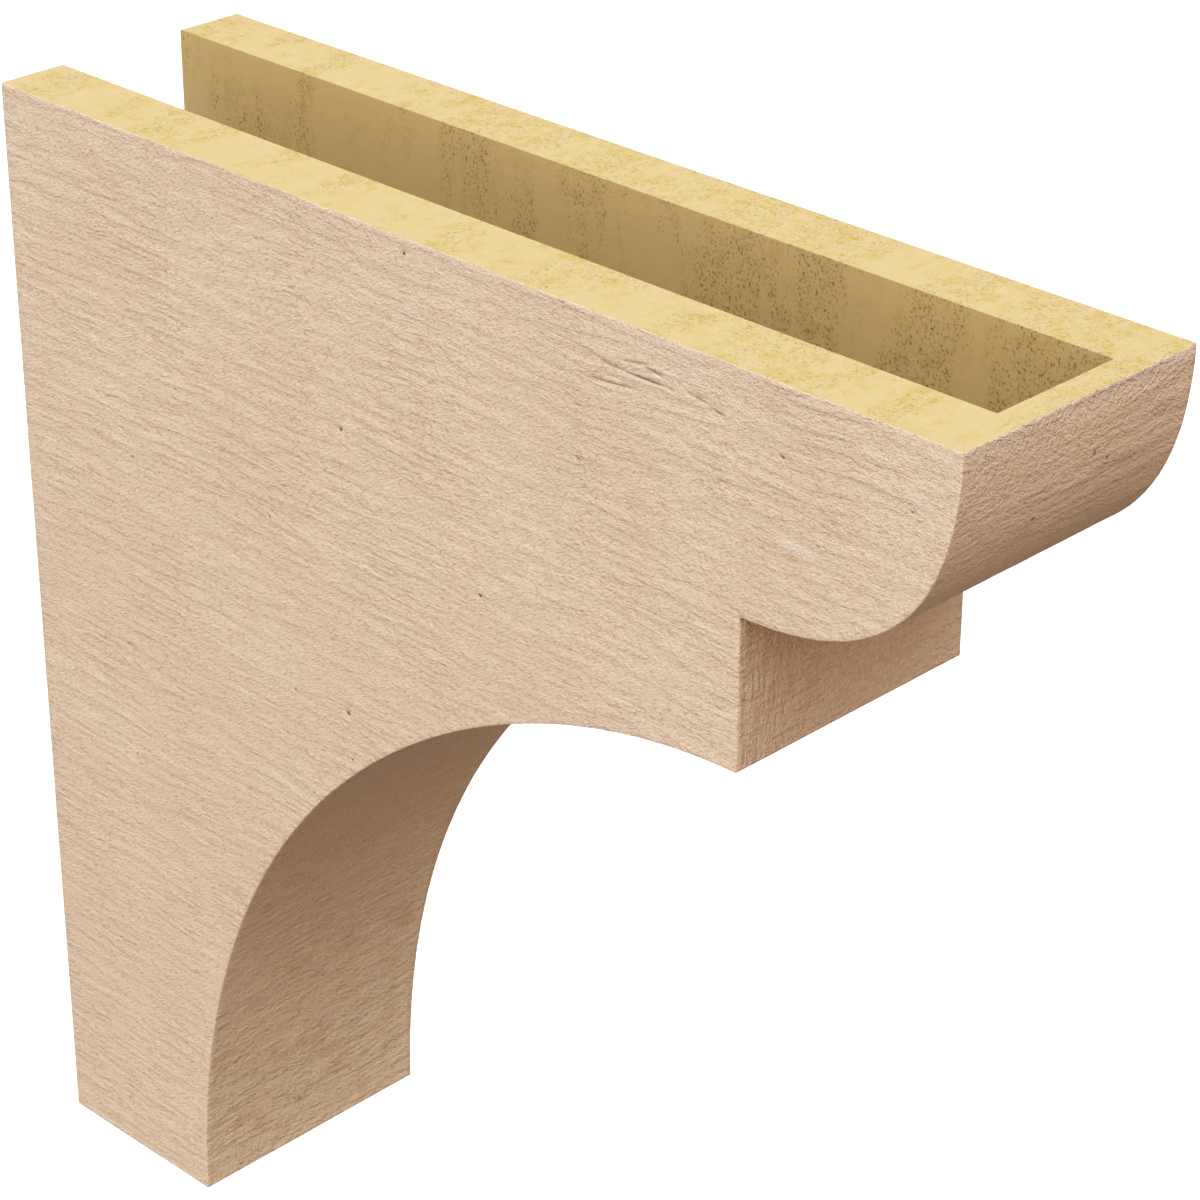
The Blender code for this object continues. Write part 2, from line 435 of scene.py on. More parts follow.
def sawn_primer(name, crosswise):
    """Matt tan acrylic primer over the moulded grain, whose fibres run along X, or along Y if crosswise.

    It gives a chalky, dull surface: pale where it stands proud, browner in the fine hollows as painted
    shade, and gritty.
    """
    # Noise sizes, along and across the fibres where there are two, or along X, Y and Z
    WANDER_SIZE, WANDER = 60 * MM, 6 * MM
    STREAK = (15 * MM, 2.3 * MM) if crosswise else (20 * MM, 2.2 * MM)
    STROKE = (2.2 * MM, 1.25 * MM) if crosswise else (1.9 * MM, 1.05 * MM)
    CREVICE = (7 * MM, 1.0 * MM) if crosswise else (5 * MM, 0.9 * MM)
    STROKE_LEAN, CREVICE_LEAN = math.radians(33), math.radians(6)
    LUMP, GRIT, PATCH, TONE, STAIN = 1.7 * MM, 0.6 * MM, 38 * MM, 55 * MM, 12 * MM
    RIDGE = (9 * MM, 2.8 * MM, 17 * MM)
    SWELL = (5.5 * MM, 12 * MM, 5.5 * MM)
    RIPPLE = (8.5 * MM, 34 * MM, 8.5 * MM)

    # Heights in mm, for a bump with a distance of 1 mm
    LEDGE_HEIGHT = 0.32 if crosswise else 0.34
    STROKE_HEIGHT = 1.05 if crosswise else 0.68
    LUMP_HEIGHT = 1.4 if crosswise else 1.25
    GRIT_HEIGHT = 0.5 if crosswise else 0.46
    GROOVE_HEIGHT, CREVICE_HEIGHT = -0.13, -0.13
    RIDGE_HEIGHT, SWELL_HEIGHT, RIPPLE_HEIGHT = 1.3, 1.3, 2.4

    # A crevice opens where its noise passes a level, which rough places and the worn foot lower
    TORN_LEVEL, TORN_FADE = 0.75, 0.06
    TORN_BY_ROUGH = -0.06 if crosswise else -0.11
    TORN_BY_WEAR = -0.08

    # The worn foot, above the ground: where its wear starts and is full, how much of it there is, and
    # what it adds to the ledges
    WEAR_START, WEAR_FULL = FOOT + 190 * MM, FOOT + 50 * MM
    WEAR = 0.95 if crosswise else 0.0
    WEAR_LEDGE = 0.05

    # How strong the painted shade is in each kind of hollow, and the darkening towards the foot and the
    # stains, from 0 to 1
    STROKE_SHADE = 0.25 if crosswise else 0.38
    LOW_BROWN = 0.0 if crosswise else 0.1
    GROOVE_SHADE, LUMP_SHADE, SUNKEN_SHADE, STAIN_BROWN, TORN_SHADE = 0.8, 0.15, 0.05, 0.32, 0.5

    # Colours of the primer, dry in two tones; the brown of the painted shade in the hollows, which also
    # holds the foot's stains; the primer worn thin on the foot and the painted highlight on the nose's top
    # edge; and the browns of the painted shade in crevices and holes
    # Across the grain the two tones are browner: painted warm shade of the undersides
    PALE, TAN = ("EACFB3", "E7CAAD") if crosswise else ("EAD5BB", "E7D0B5")
    SHADE_AND_STAIN_BROWN, NOSE_TOP_HIGHLIGHT, WORN_FOOT, CREVICE_SHADE_BROWN, HOLE_SHADE_BROWN = "B98556", "EBD7C8", "ECD6B8", "8C4E22", "643F26"
    # How much paler the primer is where it is rough, as painted light
    PAINTED_LIFT = 0.055
    # How strong the painted highlight along the nose's top edge is
    NOSE_TOP_HIGHLIGHT_SHARE = 0.35

    # One pale scuff on the near side of the nose
    SCUFF_PALE, SCUFF_WEAR = "F3E4D4", 0.5
    SCUFF_MIDDLE = (355 * MM, -HALF_WIDTH, 363 * MM + FOOT)
    SCUFF_SIZE = (10 * MM, 10 * MM, 1.6 * MM)

    material = bpy.data.materials.new(name)
    material.use_nodes = True
    tree = material.node_tree
    tree.nodes.clear()
    place = add_node(tree, "ShaderNodeTexCoord", output="Object")
    x, y, z = add_node(tree, "ShaderNodeSeparateXYZ", {0: place}).node.outputs
    rough, hollow, mark = (
        add_node(tree, "ShaderNodeAttribute", output="Fac", attribute_name=attribute)
        for attribute in ("rough", "hollow", "mark")
    )

    # No line of the grain is quite straight, so its noises follow a place that wanders
    wander = add_node(
        tree, "ShaderNodeTexNoise", {"Vector": place, "Scale": 1 / WANDER_SIZE, "Detail": 1}, "Color"
    )
    wander = add_node(
        tree, "ShaderNodeVectorMath", {0: wander, 1: [WANDER] * 3, 2: place}, operation="MULTIPLY_ADD"
    )

    # Three grains, each a noise drawn out along the fibres and turned a little. The shift keeps them apart.
    grains = []
    axis = (1, 0, 0) if crosswise else (0, 1, 0)
    for (length, width), lean, detail, fineness, shift in (
        (STREAK, 0.0, 0.5, 0.5, 0),
        (STROKE, STROKE_LEAN, 3, 0.6, 7.3),
        (CREVICE, CREVICE_LEAN, 2, 0.5, 3.1),
    ):
        sizes = (width, length, width) if crosswise else (length, width, width)
        leaning = add_node(tree, "ShaderNodeVectorRotate", {"Vector": wander, "Axis": axis, "Angle": lean})
        drawn_out = add_node(
            tree,
            "ShaderNodeVectorMath",
            {0: leaning, 1: [1 / size for size in sizes], 2: [shift] * 3},
            operation="MULTIPLY_ADD",
        )
        grain = {"Vector": drawn_out, "Scale": 1, "Detail": detail, "Roughness": fineness}
        grains.append(add_node(tree, "ShaderNodeTexNoise", grain))
    streak, stroke, crevice = grains

    # Noises without a direction: what each follows, its size, its detail and how rough that is
    evens = []
    for follows, size, detail, fineness in (
        (wander, LUMP, 4, 0.62),
        (place, GRIT, 1, 0.5),
        (wander, PATCH, 1, 0.5),
        (wander, TONE, 2, 0.5),
    ):
        even = {"Vector": follows, "Scale": 1 / size, "Detail": detail, "Roughness": fineness}
        evens.append(add_node(tree, "ShaderNodeTexNoise", even))
    lump, grit, patch, tone = evens

    # Long ledges lie in patches, with a thin groove where each one breaks off
    worn_foot = add_node(
        tree,
        "ShaderNodeMapRange",
        {"Value": z, "From Min": WEAR_START, "From Max": WEAR_FULL, "To Max": WEAR},
    )
    patch = add_node(
        tree,
        "ShaderNodeMapRange",
        {
            "Value": patch,
            "From Min": 0.36,
            "From Max": 0.62,
            "To Min": 0.45 * LEDGE_HEIGHT,
            "To Max": LEDGE_HEIGHT,
        },
    )
    patch = add_node(
        tree, "ShaderNodeMath", {0: worn_foot, 1: WEAR_LEDGE, 2: patch}, operation="MULTIPLY_ADD"
    )
    ledge = add_node(tree, "ShaderNodeMapRange", {"Value": streak, "From Min": 0.3, "From Max": 0.7})
    ledge = add_node(tree, "ShaderNodeMath", {0: ledge, 1: patch}, operation="MULTIPLY")
    groove = add_node(tree, "ShaderNodeMath", {0: streak, 1: 0.5}, operation="SUBTRACT")
    groove = add_node(tree, "ShaderNodeMath", {0: groove}, operation="ABSOLUTE")
    groove = add_node(
        tree, "ShaderNodeMapRange", {"Value": groove, "From Max": 0.035, "To Min": 1.0, "To Max": 0.0}
    )
    groove = add_node(tree, "ShaderNodeMath", {0: groove, 1: patch}, operation="MULTIPLY")

    # Crevices are where the saw tore the wood
    level = add_node(
        tree, "ShaderNodeMath", {0: rough, 1: TORN_BY_ROUGH, 2: TORN_LEVEL}, operation="MULTIPLY_ADD"
    )
    level = add_node(
        tree, "ShaderNodeMath", {0: worn_foot, 1: TORN_BY_WEAR, 2: level}, operation="MULTIPLY_ADD"
    )
    torn = add_node(tree, "ShaderNodeMath", {0: crevice, 1: level}, operation="SUBTRACT")
    torn = add_node(tree, "ShaderNodeMapRange", {"Value": torn, "From Max": TORN_FADE})

    # The height adds up the ledges, the short leaning strokes, the lumps where the saw dug in, the grit and
    # the crevices, each with its own height
    dug = add_node(tree, "ShaderNodeMath", {0: lump, 1: rough}, operation="MULTIPLY")
    layers = [
        (groove, GROOVE_HEIGHT / LEDGE_HEIGHT),
        (stroke, STROKE_HEIGHT),
        (dug, LUMP_HEIGHT),
        (grit, GRIT_HEIGHT),
        (torn, CREVICE_HEIGHT),
    ]

    # Three coarser textures lie across the grain: upright ridges at the near edge of the step, swells on
    # the worn foot, and ripples on the far half of the nose
    if crosswise:
        ridge, swell, ripple = (
            add_node(
                tree,
                "ShaderNodeTexNoise",
                {
                    "Vector": add_node(
                        tree,
                        "ShaderNodeVectorMath",
                        {0: wander, 1: [1 / size for size in sizes]},
                        operation="MULTIPLY",
                    ),
                    "Scale": 1,
                    "Detail": detail,
                },
            )
            for sizes, detail in ((RIDGE, 2.5), (SWELL, 1.5), (RIPPLE, 1.5))
        )
        off_step = add_node(tree, "ShaderNodeMath", {0: x, 1: STEP_X}, operation="SUBTRACT")
        off_step = add_node(tree, "ShaderNodeMath", {0: off_step}, operation="ABSOLUTE")
        on_step = add_node(
            tree, "ShaderNodeMapRange", {"Value": off_step, "From Min": 2.5 * MM, "From Max": 1.5 * MM}
        )
        near_edge = add_node(
            tree,
            "ShaderNodeMapRange",
            {"Value": y, "From Min": -10 * MM, "From Max": -34 * MM, "To Max": RIDGE_HEIGHT},
        )
        far_half = add_node(
            tree,
            "ShaderNodeMapRange",
            {"Value": y, "From Min": -8 * MM, "From Max": 12 * MM, "To Max": RIPPLE_HEIGHT},
        )
        on_nose = add_node(
            tree,
            "ShaderNodeMapRange",
            {"Value": z, "From Min": FOOT + 345 * MM, "From Max": FOOT + 360 * MM},
        )
        ridged = add_node(tree, "ShaderNodeMath", {0: on_step, 1: near_edge}, operation="MULTIPLY")
        swollen = add_node(tree, "ShaderNodeMath", {0: worn_foot, 1: SWELL_HEIGHT}, operation="MULTIPLY")
        rippled = add_node(tree, "ShaderNodeMath", {0: far_half, 1: on_nose}, operation="MULTIPLY")
        layers += [(ridge, ridged), (swell, swollen), (ripple, rippled)]
    height = ledge
    for layer, tall in layers:
        height = add_node(tree, "ShaderNodeMath", {0: layer, 1: tall, 2: height}, operation="MULTIPLY_ADD")
    bump = add_node(tree, "ShaderNodeBump", {"Height": height, "Distance": MM, "Strength": 1.0})

    # Painted shade: the primer is browner in the fine hollows of the strokes, in the grooves, in the low
    # crumbs where it is rough and where the relief is sunk, and the sides are darker towards the foot, while
    # it stays pale on what stands proud; across the grain the same brown also holds real stains on the worn
    # foot
    depth = add_node(
        tree,
        "ShaderNodeMapRange",
        {"Value": stroke, "From Min": 0.5, "From Max": 0.28, "To Max": STROKE_SHADE},
    )
    depth = add_node(
        tree, "ShaderNodeMath", {0: groove, 1: GROOVE_SHADE, 2: depth}, operation="MULTIPLY_ADD"
    )
    crumbled = add_node(tree, "ShaderNodeMapRange", {"Value": lump, "From Min": 0.44, "From Max": 0.34})
    crumbled = add_node(tree, "ShaderNodeMath", {0: crumbled, 1: rough}, operation="MULTIPLY")
    depth = add_node(
        tree, "ShaderNodeMath", {0: crumbled, 1: LUMP_SHADE, 2: depth}, operation="MULTIPLY_ADD"
    )
    lower = add_node(
        tree,
        "ShaderNodeMapRange",
        {"Value": z, "From Min": HEIGHT + FOOT, "From Max": FOOT, "To Max": LOW_BROWN},
    )
    depth = add_node(tree, "ShaderNodeMath", {0: lower, 1: depth}, operation="ADD")
    depth = add_node(
        tree,
        "ShaderNodeMath",
        {0: hollow, 1: SUNKEN_SHADE, 2: depth},
        operation="MULTIPLY_ADD",
        use_clamp=True,
    )
    if crosswise:
        stained = add_node(tree, "ShaderNodeTexNoise", {"Vector": wander, "Scale": 1 / STAIN, "Detail": 3})
        stained = add_node(
            tree,
            "ShaderNodeMapRange",
            {"Value": stained, "From Min": 0.56, "From Max": 0.74, "To Max": STAIN_BROWN},
        )
        stained = add_node(tree, "ShaderNodeMath", {0: stained, 1: worn_foot}, operation="MULTIPLY")
        depth = add_node(tree, "ShaderNodeMath", {0: depth, 1: stained}, operation="ADD", use_clamp=True)

    # Coats of colour from the primer outwards, each with the share of the surface that it takes
    toned = add_node(tree, "ShaderNodeMapRange", {"Value": tone, "From Min": 0.35, "From Max": 0.65})
    # Painted shade in the torn crevices
    crevice_shade = add_node(tree, "ShaderNodeMath", {0: torn, 1: TORN_SHADE}, operation="MULTIPLY")
    coats = [(toned, PALE), (depth, SHADE_AND_STAIN_BROWN), (crevice_shade, CREVICE_SHADE_BROWN)]
    if crosswise:
        # Across the grain, the paler worn foot, and a painted highlight along the nose's top edge
        height_along = add_node(tree, "ShaderNodeSeparateXYZ", {0: wander}, "Z")
        painted_highlight = add_node(
            tree,
            "ShaderNodeMapRange",
            {
                "Value": height_along,
                "From Min": HEIGHT + FOOT - 3 * MM,
                "From Max": HEIGHT + FOOT + 2 * MM,
                "To Max": NOSE_TOP_HIGHLIGHT_SHARE,
            },
        )
        coats.insert(1, (worn_foot, WORN_FOOT))
        coats.append((painted_highlight, NOSE_TOP_HIGHLIGHT))
    primer = linear(TAN)
    for share, coat in coats:
        primer = add_node(
            tree,
            "ShaderNodeMix",
            {"Factor": share, "A": primer, "B": linear(coat)},
            "Result",
            data_type="RGBA",
        )

    # Painted light: the primer is a little paler where the saw dug in, against the shade of its bumps
    painted_lift = add_node(tree, "ShaderNodeMath", {0: rough, 1: PAINTED_LIFT, 2: 1.0}, operation="MULTIPLY_ADD")
    primer = add_node(tree, "ShaderNodeVectorMath", {0: primer, "Scale": painted_lift}, operation="SCALE")
    off_scuff = add_node(tree, "ShaderNodeVectorMath", {0: wander, 1: SCUFF_MIDDLE}, operation="SUBTRACT")
    off_scuff = add_node(tree, "ShaderNodeVectorMath", {0: off_scuff, 1: SCUFF_SIZE}, operation="DIVIDE")
    off_scuff = add_node(tree, "ShaderNodeVectorMath", {0: off_scuff}, "Value", operation="LENGTH")
    scuffed = add_node(
        tree,
        "ShaderNodeMapRange",
        {"Value": off_scuff, "From Min": 1.0, "From Max": 0.5, "To Max": SCUFF_WEAR},
    )
    # Painted shade: the air-bubble holes and splits, and the pits in the nose's front, are painted dark
    # brown
    hole_shade = add_node(tree, "ShaderNodeMapRange", {"Value": mark, "From Min": 0.08, "From Max": 0.65})
    for pit_y, pit_z in FRONT_PITS if crosswise else ():
        pit_x = float(np.interp(pit_z * MM, nose_run[:, 1], nose_run[:, 0]))
        pit = (pit_x, pit_y * MM, pit_z * MM + FOOT)
        gap = add_node(tree, "ShaderNodeVectorMath", {0: place, 1: pit}, "Value", operation="DISTANCE")
        in_pit = add_node(
            tree,
            "ShaderNodeMapRange",
            {"Value": gap, "From Min": 1.0 * MM, "From Max": 0.4 * MM, "To Max": 0.75},
        )
        hole_shade = add_node(tree, "ShaderNodeMath", {0: hole_shade, 1: in_pit}, operation="MAXIMUM")
    for share, coat in ((scuffed, SCUFF_PALE), (hole_shade, HOLE_SHADE_BROWN)):
        primer = add_node(
            tree,
            "ShaderNodeMix",
            {"Factor": share, "A": primer, "B": linear(coat)},
            "Result",
            data_type="RGBA",
        )
    matt = add_node(
        tree,
        "ShaderNodeMapRange",
        {"Value": height, "From Min": 0.5, "From Max": 1.2, "To Min": 0.82, "To Max": 0.95},
    )
    surface = add_node(
        tree,
        "ShaderNodeBsdfPrincipled",
        {"Base Color": primer, "Roughness": matt, "Normal": bump, "IOR": 1.5, "Specular IOR Level": 0.2},
    )
    add_node(tree, "ShaderNodeOutputMaterial", {"Surface": surface})
    return material


def bare_foam(name, foam_pale, foam_yellow, pore_brown, pore_share, rear_pores):
    """Rigid urethane foam as it leaves the mould: matt and smooth, with fine open pores in clusters.

    The pores are a fraction of a millimetre across, too fine to show one by one, so they are drawn as specks
    of about 1 mm, in bands across the length. pore_share is how dark they are, and rear_pores how many
    there are at the back.
    """
    PORE = (0.9 * MM, 0.9 * MM, 1.05 * MM)
    BAND = (15 * MM, 50 * MM, 70 * MM)
    STAIN = 5 * MM
    REAR_END, FRONT_START, FRONT_PORES = 170 * MM, 300 * MM, 0.11
    FAR_SIDE_PORES = 0.9

    material = bpy.data.materials.new(name)
    material.use_nodes = True
    tree = material.node_tree
    tree.nodes.clear()
    place = add_node(tree, "ShaderNodeTexCoord", output="Object")
    x, y = add_node(tree, "ShaderNodeSeparateXYZ", {0: place}).node.outputs[:2]

    # Bands across the length, more of them towards the front and the far side, hold the clusters
    bands = add_node(
        tree, "ShaderNodeVectorMath", {0: place, 1: [1 / size for size in BAND]}, operation="MULTIPLY"
    )
    bands = add_node(
        tree, "ShaderNodeTexNoise", {"Vector": bands, "Scale": 1, "Detail": 3, "Roughness": 0.65}
    )
    forward = add_node(
        tree,
        "ShaderNodeMapRange",
        {
            "Value": x,
            "From Min": REAR_END,
            "From Max": FRONT_START,
            "To Min": rear_pores,
            "To Max": FRONT_PORES,
        },
        interpolation_type="SMOOTHSTEP",
    )
    bands = add_node(tree, "ShaderNodeMath", {0: bands, 1: forward}, operation="ADD")
    bands = add_node(
        tree, "ShaderNodeMath", {0: y, 1: FAR_SIDE_PORES, 2: bands}, operation="MULTIPLY_ADD"
    )
    cluster = add_node(tree, "ShaderNodeMapRange", {"Value": bands, "From Min": 0.42, "From Max": 0.64})

    # A pore opens where its noise passes a level, which is lower inside a cluster
    specks = add_node(
        tree, "ShaderNodeVectorMath", {0: place, 1: [1 / size for size in PORE]}, operation="MULTIPLY"
    )
    specks = add_node(
        tree, "ShaderNodeTexNoise", {"Vector": specks, "Scale": 1, "Detail": 4, "Roughness": 0.68}
    )
    level = add_node(tree, "ShaderNodeMapRange", {"Value": cluster, "To Min": 0.7, "To Max": 0.52})
    pore = add_node(tree, "ShaderNodeMath", {0: specks, 1: level}, operation="SUBTRACT")
    pore = add_node(tree, "ShaderNodeMapRange", {"Value": pore, "From Max": 0.14})

    # The foam is yellower between the pores of a cluster
    stain = add_node(
        tree,
        "ShaderNodeTexNoise",
        {"Vector": place, "Scale": 1 / STAIN, "Detail": 4, "Roughness": 0.7},
    )
    stain = add_node(tree, "ShaderNodeMapRange", {"Value": stain, "From Min": 0.45, "From Max": 0.68})
    stain = add_node(tree, "ShaderNodeMath", {0: stain, 1: cluster}, operation="MULTIPLY")
    dark = add_node(
        tree, "ShaderNodeMapRange", {"Value": cluster, "To Min": 0.5 * pore_share, "To Max": pore_share}
    )
    speckled = add_node(tree, "ShaderNodeMath", {0: pore, 1: dark}, operation="MULTIPLY")
    foam = linear(foam_pale)
    for share, coat in ((stain, foam_yellow), (speckled, pore_brown)):
        foam = add_node(
            tree,
            "ShaderNodeMix",
            {"Factor": share, "A": foam, "B": linear(coat)},
            "Result",
            data_type="RGBA",
        )
    height = add_node(tree, "ShaderNodeMath", {0: pore, 1: -1.0, 2: specks}, operation="MULTIPLY_ADD")
    bump = add_node(tree, "ShaderNodeBump", {"Height": height, "Distance": 0.2 * MM, "Strength": 0.25})
    matt = add_node(
        tree,
        "ShaderNodeMapRange",
        {"Value": specks, "From Min": 0.3, "From Max": 0.7, "To Min": 0.78, "To Max": 0.92},
    )
    surface = add_node(
        tree,
        "ShaderNodeBsdfPrincipled",
        {"Base Color": foam, "Roughness": matt, "Normal": bump, "IOR": 1.5, "Specular IOR Level": 0.3},
    )
    add_node(tree, "ShaderNodeOutputMaterial", {"Surface": surface})
    return material


# The relief: a tree that sinks the sawn faces into grain fibres, slow swells and crumbly saw marks. The
# other faces have no direction to sink in, so they stay as they are.
relief = bpy.data.node_groups.new("sawn_relief", "GeometryNodeTree")
relief.is_modifier = True
sizes = {
    "Fibre length": 18 * MM,
    "Fibre width": 3.1 * MM,
    "Fibre depth": 0.35 * MM,
    "Swell size": 34 * MM,
    "Swell depth": 0.1 * MM,
    "Saw mark width": 19 * MM,
    "Tear size": 26 * MM,
    "Crumb size": 2.8 * MM,
    "Crumb depth": 0.25 * MM,
    "Mark depth": 0.9 * MM,
    "Seed": 4.0,
}
materials = {
    "Side finish": sawn_primer("primer_on_sawn_side", False),
    "Underside finish": sawn_primer("primer_on_cross_grain", True),
    "Rim finish": bare_foam("bare_urethane_foam_rim", "CBB17E", "C1A559", "88681B", 0.62, 0.08),
    "Channel finish": bare_foam("bare_urethane_foam_channel", "CFB27A", "C4A668", "5A3810", 0.75, 0.02),
}
inputs = {}
relief.interface.new_socket("Geometry", in_out="INPUT", socket_type="NodeSocketGeometry")
for names, kind in ((sizes, "NodeSocketFloat"), (materials, "NodeSocketMaterial")):
    for name in names:
        inputs[name] = relief.interface.new_socket(name, in_out="INPUT", socket_type=kind).identifier
relief.interface.new_socket("Geometry", in_out="OUTPUT", socket_type="NodeSocketGeometry")
given = relief.nodes.new("NodeGroupInput").outputs

# The fibres run along X on the sides and along Y across the grain, and no line is quite straight
RELIEF_WANDER_SIZE, RELIEF_WANDER = 45 * MM, 8 * MM
place = add_node(relief, "GeometryNodeInputPosition")
wander = add_node(
    relief, "ShaderNodeTexNoise", {"Vector": place, "Scale": 1 / RELIEF_WANDER_SIZE, "Detail": 1}, "Color"
)
wander = add_node(
    relief, "ShaderNodeVectorMath", {0: wander, 1: [RELIEF_WANDER] * 3, 2: place}, operation="MULTIPLY_ADD"
)
turned = add_node(relief, "GeometryNodeInputNamedAttribute", {"Name": "crosswise"}, data_type="FLOAT")
drawn_out = add_node(
    relief, "ShaderNodeMath", {0: given["Fibre width"], 1: given["Fibre length"]}, operation="DIVIDE"
)
along_x = add_node(relief, "ShaderNodeCombineXYZ", {0: drawn_out, 1: 1.0, 2: 1.0})
along_y = add_node(relief, "ShaderNodeCombineXYZ", {0: 1.0, 1: drawn_out, 2: 1.0})
stretch = add_node(
    relief, "ShaderNodeMix", {"Factor": turned, "A": along_x, "B": along_y}, "Result", data_type="VECTOR"
)
grained = add_node(relief, "ShaderNodeVectorMath", {0: wander, 1: stretch}, operation="MULTIPLY")

# Four noises from 0 to 1: what each follows, its size and its detail
noises = []
for follows, size, detail in (
    (grained, given["Fibre width"], 2.0),
    (grained, given["Swell size"], 1.0),
    (wander, given["Crumb size"], 1.0),
    (wander, given["Tear size"], 2.0),
):
    scale = add_node(relief, "ShaderNodeMath", {0: 1.0, 1: size}, operation="DIVIDE")
    noise = add_node(
        relief,
        "ShaderNodeTexNoise",
        {"Vector": follows, "W": given["Seed"], "Scale": scale, "Detail": detail},
        noise_dimensions="4D",
    )
    noises.append(add_node(relief, "ShaderNodeMapRange", {"Value": noise, "From Min": 0.3, "From Max": 0.7}))
fibre, swell, crumb, torn = noises

# Saw marks cross the sides every few centimetres, where the saw dug in and tore the wood: their places
# in mm from the wall, and how far from its middle one starts and is full, as shares of its width
SAW_MARKS = (48, 83, 151, 216, 273, 324)
MARK_START, MARK_FULL = 0.5, 0.1875
x, y, z = add_node(relief, "ShaderNodeSeparateXYZ", {0: wander}).node.outputs
start, full = (
    add_node(relief, "ShaderNodeMath", {0: given["Saw mark width"], 1: share}, operation="MULTIPLY")
    for share in (MARK_START, MARK_FULL)
)
saw_mark = 0.0
for mark_x in SAW_MARKS:
    gap = add_node(relief, "ShaderNodeMath", {0: x, 1: mark_x * MM}, operation="SUBTRACT")
    gap = add_node(relief, "ShaderNodeMath", {0: gap}, operation="ABSOLUTE")
    one_mark = add_node(relief, "ShaderNodeMapRange", {"Value": gap, "From Min": start, "From Max": full})
    saw_mark = add_node(relief, "ShaderNodeMath", {0: one_mark, 1: saw_mark}, operation="MAXIMUM")

# How rough each region is: along which axis, from and to where in mm, and from and to how rough
regions = []
for along, region_start, region_end, least, most in (
    (z, 220, 370, 0.45, 1.0),
    (x, 335, 365, 0.0, 0.05),
    (y, 10, -50, 0.0, 0.9),
    (z, 385, 402, 0.0, 0.9),
    (z, 340, 365, 0.0, 1.0),
):
    region = {"From Min": region_start * MM, "From Max": region_end * MM, "To Min": least, "To Max": most}
    regions.append(add_node(relief, "ShaderNodeMapRange", {"Value": along, **region}))
high_up, nose_side, near_side, near_top, nose_front = regions

# The marks come and go along the height. Across the grain the nose is rough at its near side and top.
TORN_SHARE, UNTORN_SHARE, UNDER_TORN_SHARE = 0.9, 0.1, 0.25
patchy = add_node(
    relief, "ShaderNodeMath", {0: torn, 1: TORN_SHARE, 2: UNTORN_SHARE}, operation="MULTIPLY_ADD"
)
saw_mark = add_node(relief, "ShaderNodeMath", {0: saw_mark, 1: high_up}, operation="MULTIPLY")
saw_mark = add_node(relief, "ShaderNodeMath", {0: saw_mark, 1: patchy}, operation="MULTIPLY")
side_rough = add_node(relief, "ShaderNodeMath", {0: saw_mark, 1: nose_side}, operation="MAXIMUM")
nose_rough = add_node(relief, "ShaderNodeMath", {0: near_side, 1: near_top}, operation="MAXIMUM")
nose_rough = add_node(relief, "ShaderNodeMath", {0: nose_rough, 1: nose_front}, operation="MULTIPLY")
under_rough = add_node(relief, "ShaderNodeMath", {0: torn, 1: UNDER_TORN_SHARE}, operation="MULTIPLY")
under_rough = add_node(relief, "ShaderNodeMath", {0: under_rough, 1: nose_rough}, operation="MAXIMUM")
rough = add_node(
    relief,
    "ShaderNodeMix",
    {"Factor": turned, "A": side_rough, "B": under_rough},
    "Result",
    data_type="FLOAT",
)

# The depth adds up the fibres, the swells, the crumbs where it is rough, and the pits and splits
marked = add_node(relief, "GeometryNodeInputNamedAttribute", {"Name": "mark"}, data_type="FLOAT")
crumbled = add_node(relief, "ShaderNodeMath", {0: crumb, 1: given["Crumb depth"]}, operation="MULTIPLY")
depth = add_node(relief, "ShaderNodeMath", {0: fibre, 1: given["Fibre depth"]}, operation="MULTIPLY")
for layer, deep in ((swell, given["Swell depth"]), (crumbled, rough), (marked, given["Mark depth"])):
    depth = add_node(relief, "ShaderNodeMath", {0: layer, 1: deep, 2: depth}, operation="MULTIPLY_ADD")
inward = add_node(relief, "GeometryNodeInputNamedAttribute", {"Name": "sink"}, data_type="FLOAT_VECTOR")
offset = add_node(relief, "ShaderNodeVectorMath", {0: inward, "Scale": depth}, operation="SCALE")
sunk = add_node(relief, "GeometryNodeSetPosition", {"Geometry": given["Geometry"], "Offset": offset})

# The primer reads how rough each point is, and how hollow, where this depth counts as 1; it paints shade
# where the relief is hollow
HOLLOW_DEPTH = 1.2 * MM
hollow = add_node(relief, "ShaderNodeMath", {0: depth, 1: HOLLOW_DEPTH}, operation="DIVIDE")
for name, value in (("rough", rough), ("hollow", hollow)):
    sunk = add_node(
        relief,
        "GeometryNodeStoreNamedAttribute",
        {"Geometry": sunk, "Name": name, "Value": value},
        data_type="FLOAT",
        domain="POINT",
    )
sunk = add_node(relief, "GeometryNodeRealizeInstances", {"Geometry": sunk})
finish = add_node(relief, "GeometryNodeInputNamedAttribute", {"Name": "finish"}, data_type="INT")
sunk = add_node(relief, "GeometryNodeSetMaterial", {"Geometry": sunk, "Material": given["Side finish"]})
for name, wanted in (("Underside finish", UNDER), ("Rim finish", RIM), ("Channel finish", CHANNEL)):
    chosen = add_node(
        relief, "FunctionNodeCompare", {"A": finish, "B": wanted}, data_type="INT", operation="EQUAL"
    )
    sunk = add_node(
        relief, "GeometryNodeSetMaterial", {"Geometry": sunk, "Selection": chosen, "Material": given[name]}
    )
add_node(relief, "NodeGroupOutput", {0: sunk})

